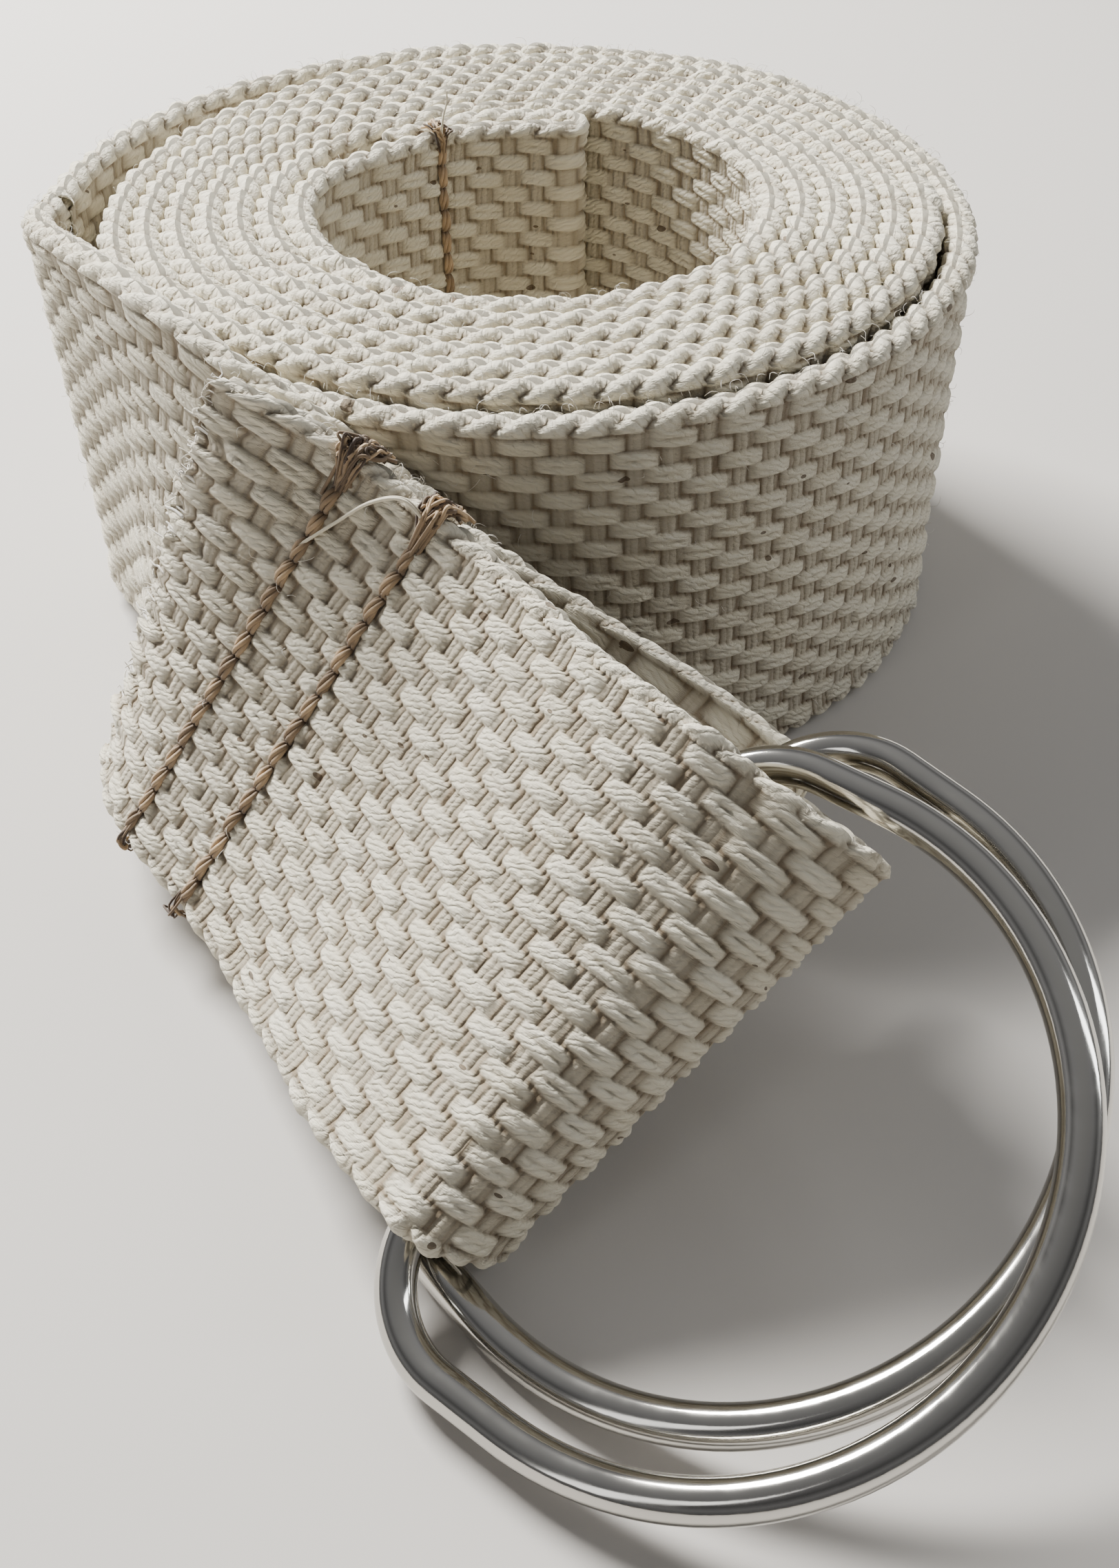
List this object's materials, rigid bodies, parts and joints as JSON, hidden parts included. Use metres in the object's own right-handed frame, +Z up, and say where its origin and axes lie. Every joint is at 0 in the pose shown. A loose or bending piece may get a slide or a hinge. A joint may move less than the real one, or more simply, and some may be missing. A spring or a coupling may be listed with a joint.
{
  "type": "stretching strap",
  "caption": "Rolled cotton webbing strap standing on its edge, with a loose end sewn round the bars of two D-rings.",
  "frame": {"origin": "on the axis of the roll, in the plane that the roll stands on", "axes": "+Z up along the roll's axis; -Y towards the end with the two D-rings"},
  "size_m": [0.084, 0.1461, 0.0417],
  "materials": {
    "webbing": "natural unbleached cotton, heavy woven",
    "ring_metal": "polished nickel plate",
    "thread": "twisted tan sewing thread"
  },
  "bodies": {
    "strap": {"rolled_webbing": "webbing", "loose_end_webbing": "webbing", "loop_row_1_needle_thread": "thread", "loop_row_1_bobbin_thread": "thread", "loop_row_2_needle_thread": "thread", "loop_row_2_bobbin_thread": "thread", "hem_row_needle_thread": "thread", "hem_row_bobbin_thread": "thread"},
    "front_ring": {"front_d_ring": "ring_metal"},
    "rear_ring": {"rear_d_ring": "ring_metal"}
  },
  "joints": [
    {"name": "front_ring_swing", "type": "hinge", "parent": "strap", "child": "front_ring", "pos_m": [0.0003, -0.0746, 0.0127], "axis": [0.5625, 0.6848, 0.4633], "range_deg": [-105, 0]},
    {"name": "rear_ring_swing", "type": "hinge", "parent": "strap", "child": "rear_ring", "pos_m": [0.0041, -0.068, 0.012], "axis": [0.7118, 0.5561, 0.4289], "range_deg": [0, 35]}
  ]
}
